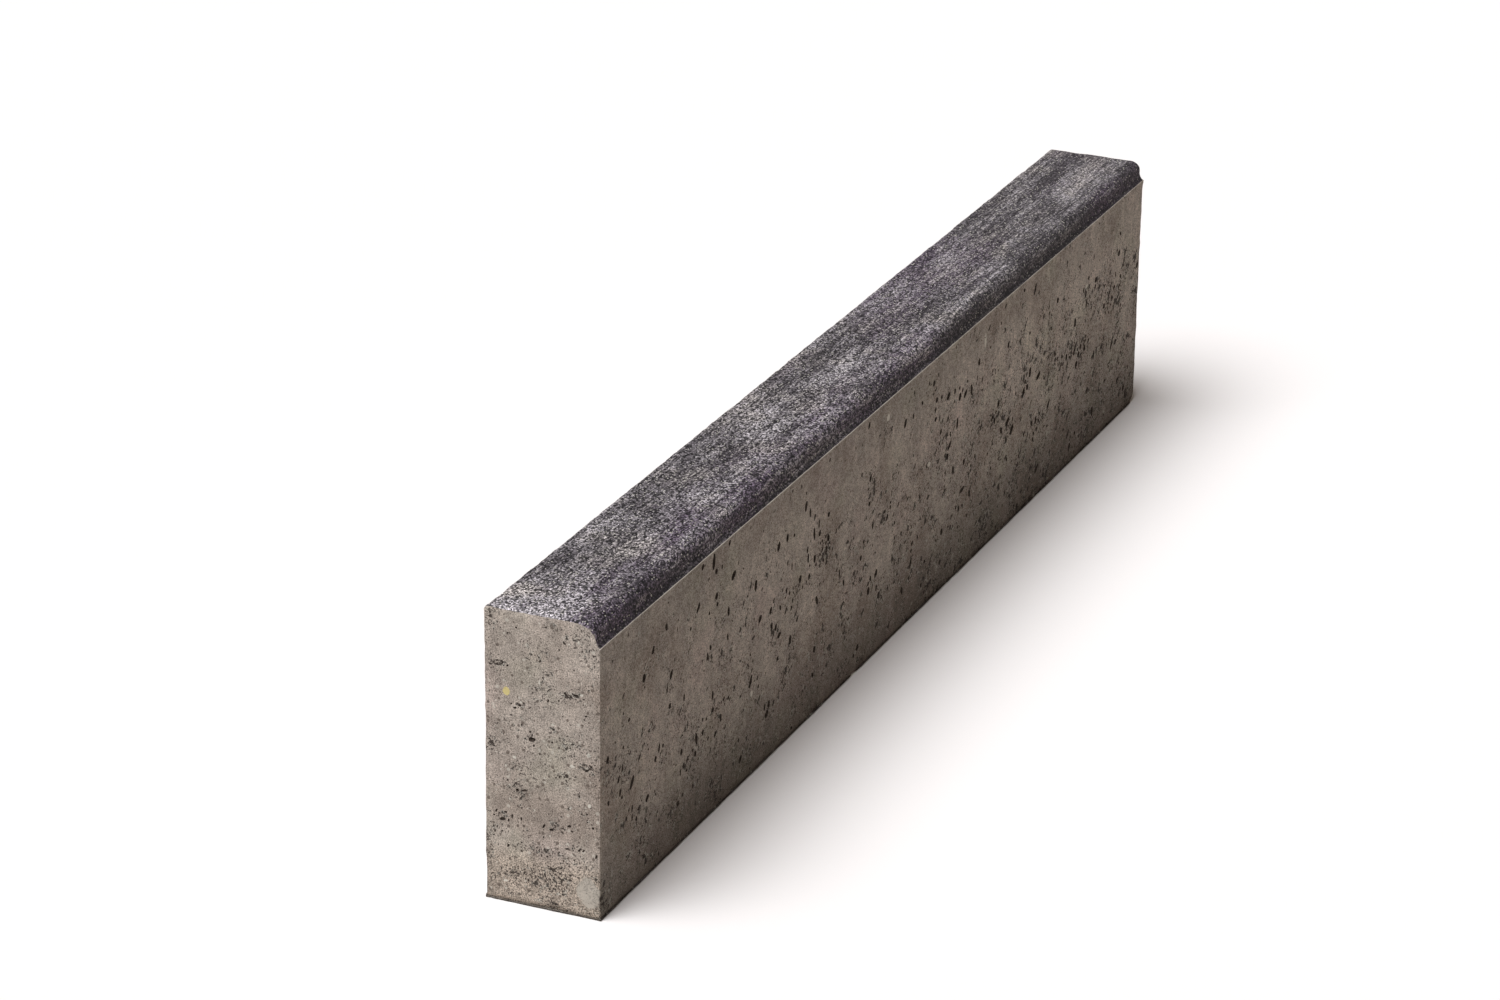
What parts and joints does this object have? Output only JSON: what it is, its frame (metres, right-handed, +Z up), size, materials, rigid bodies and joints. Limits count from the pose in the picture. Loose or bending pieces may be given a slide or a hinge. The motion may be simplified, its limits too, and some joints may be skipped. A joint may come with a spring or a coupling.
{
  "type": "concrete kerb stone",
  "caption": "Straight pressed concrete kerb stone with a flat top and one rounded upper long edge above a pressed lip.",
  "frame": {"origin": "middle of the bed, the bottom face that the stone stands on", "axes": "+X along the stone, -Y out of the long side with the rounded upper edge, +Y out of the plain back, +Z up from the bed to the top"},
  "size_m": [1, 0.08, 0.2],
  "materials": {
    "concrete": "dry-pressed grey concrete with a charcoal granular face mix on the top, matt"
  },
  "bodies": {
    "root": {"kerb_stone": "concrete"}
  },
  "joints": []
}
